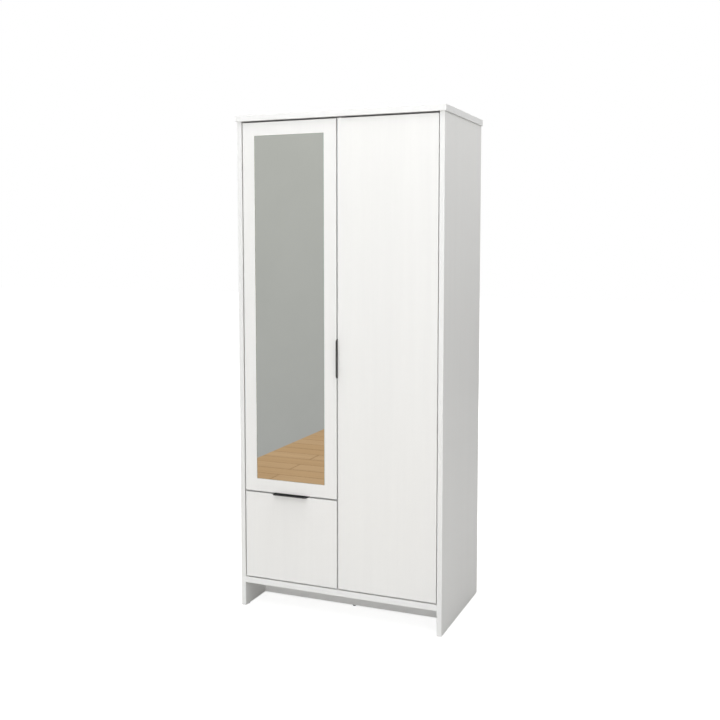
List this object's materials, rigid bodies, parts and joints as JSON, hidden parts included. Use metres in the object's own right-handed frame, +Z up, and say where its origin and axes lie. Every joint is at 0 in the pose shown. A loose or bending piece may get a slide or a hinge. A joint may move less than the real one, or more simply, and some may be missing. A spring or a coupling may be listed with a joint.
{
  "type": "wardrobe",
  "caption": "White wardrobe: a full-height door on the right, a mirror door over a drawer on the left, black tab handles, set-back plinth.",
  "frame": {"origin": "on the floor, at the middle of the whole width and of the whole depth with the handle tabs", "axes": "+Z up, fronts face -Y, +X to the right when facing the fronts"},
  "size_m": [0.8, 0.475, 1.83],
  "materials": {
    "white_board": "satin melamine foil on particleboard, faint upright grain",
    "white_edge_band": "satin edge band",
    "drawer_board": "matt white foil",
    "hardboard": "pale painted hardboard",
    "mirror_glass": "silvered float glass",
    "mounting_tape": "foam tape",
    "black_tab": "satin black powder coat",
    "nickel_steel": "nickel plated",
    "zinc_steel": "zinc plated",
    "zinc_cam": "die-cast zinc",
    "beech": "raw beech",
    "chrome_rail": "bright chrome",
    "white_runner": "white epoxy coat",
    "roller_plastic": "moulded nylon",
    "dark_glide": "moulded plastic",
    "bumper_rubber": "clear soft dome"
  },
  "bodies": {
    "carcass": {"adjustable_shelf_1": "white_board", "adjustable_shelf_2": "white_board", "adjustable_shelf_3": "white_board", "back_nails": "zinc_steel", "back_panel_left": "hardboard", "back_panel_right": "hardboard", "bottom_panel": "white_board", "cam_bolts": "zinc_steel", "cam_locks": "zinc_cam", "carcass_edge_bands": "white_edge_band", "carcass_screws": "zinc_steel", "centre_divider": "white_board", "door_bumpers": "bumper_rubber", "dowels": "beech", "drawer_shelf": "white_board", "foot_glides": "dark_glide", "hanging_rail": "chrome_rail", "hat_shelf": "white_board", "hinge_adjusting_screws": "zinc_steel", "hinge_plates": "nickel_steel", "left_carcass_runner": "white_runner", "left_side_panel": "white_board", "mirror_door_hinge_arms": "nickel_steel", "plinth_board": "white_board", "rail_sockets": "chrome_rail", "rear_plinth_board": "white_board", "right_carcass_runner": "white_runner", "right_door_hinge_arms": "nickel_steel", "right_side_panel": "white_board", "shelf_pins": "nickel_steel", "top_panel": "white_board", "wall_brackets": "zinc_steel"},
    "mirror_door": {"mirror_door_edge_bands": "white_edge_band", "mirror_door_hinge_cups": "nickel_steel", "mirror_door_hinge_pins": "zinc_steel", "mirror_door_panel": "white_board", "mirror_door_screws": "zinc_steel", "mirror_glass": "mirror_glass", "mirror_tape": "mounting_tape"},
    "right_door": {"right_door_edge_bands": "white_edge_band", "right_door_handle": "black_tab", "right_door_hinge_cups": "nickel_steel", "right_door_hinge_pins": "zinc_steel", "right_door_panel": "white_board", "right_door_screws": "zinc_steel"},
    "drawer": {"drawer_back": "drawer_board", "drawer_bottom": "hardboard", "drawer_cam_bolts": "zinc_steel", "drawer_cam_locks": "zinc_cam", "drawer_front": "white_board", "drawer_front_edge_bands": "white_edge_band", "drawer_handle": "black_tab", "drawer_screws": "zinc_steel", "drawer_side_left": "drawer_board", "drawer_side_right": "drawer_board", "left_drawer_runner": "white_runner", "right_drawer_runner": "white_runner"},
    "carcass_rollers": {"carcass_rollers": "roller_plastic"},
    "drawer_rollers": {"drawer_rollers": "roller_plastic"}
  },
  "joints": [
    {"name": "mirror_door_hinge", "type": "hinge", "parent": "carcass", "child": "mirror_door", "pos_m": [-0.362, -0.2145, 1.1255], "axis": [0, 0, -1], "range_deg": [0, 95]},
    {"name": "right_door_hinge", "type": "hinge", "parent": "carcass", "child": "right_door", "pos_m": [0.364, -0.2145, 0.961], "axis": [0, 0, 1], "range_deg": [0, 95]},
    {"name": "drawer_slide", "type": "slide", "parent": "carcass", "child": "drawer", "axis": [0, -1, 0], "range_m": [0, 0.3]},
    {"name": "carcass_roller_spin", "type": "hinge", "parent": "carcass", "child": "carcass_rollers", "pos_m": [-0.193, -0.1885, 0.147], "axis": [1, 0, 0], "continuous": true},
    {"name": "drawer_roller_spin", "type": "hinge", "parent": "drawer", "child": "drawer_rollers", "pos_m": [-0.193, 0.1835, 0.147], "axis": [1, 0, 0], "continuous": true}
  ],
  "couplings": [
    {"joint": "carcass_roller_spin", "follows": "drawer_slide", "rad_per_m": 129.87},
    {"joint": "drawer_roller_spin", "follows": "drawer_slide", "rad_per_m": 129.87}
  ]
}
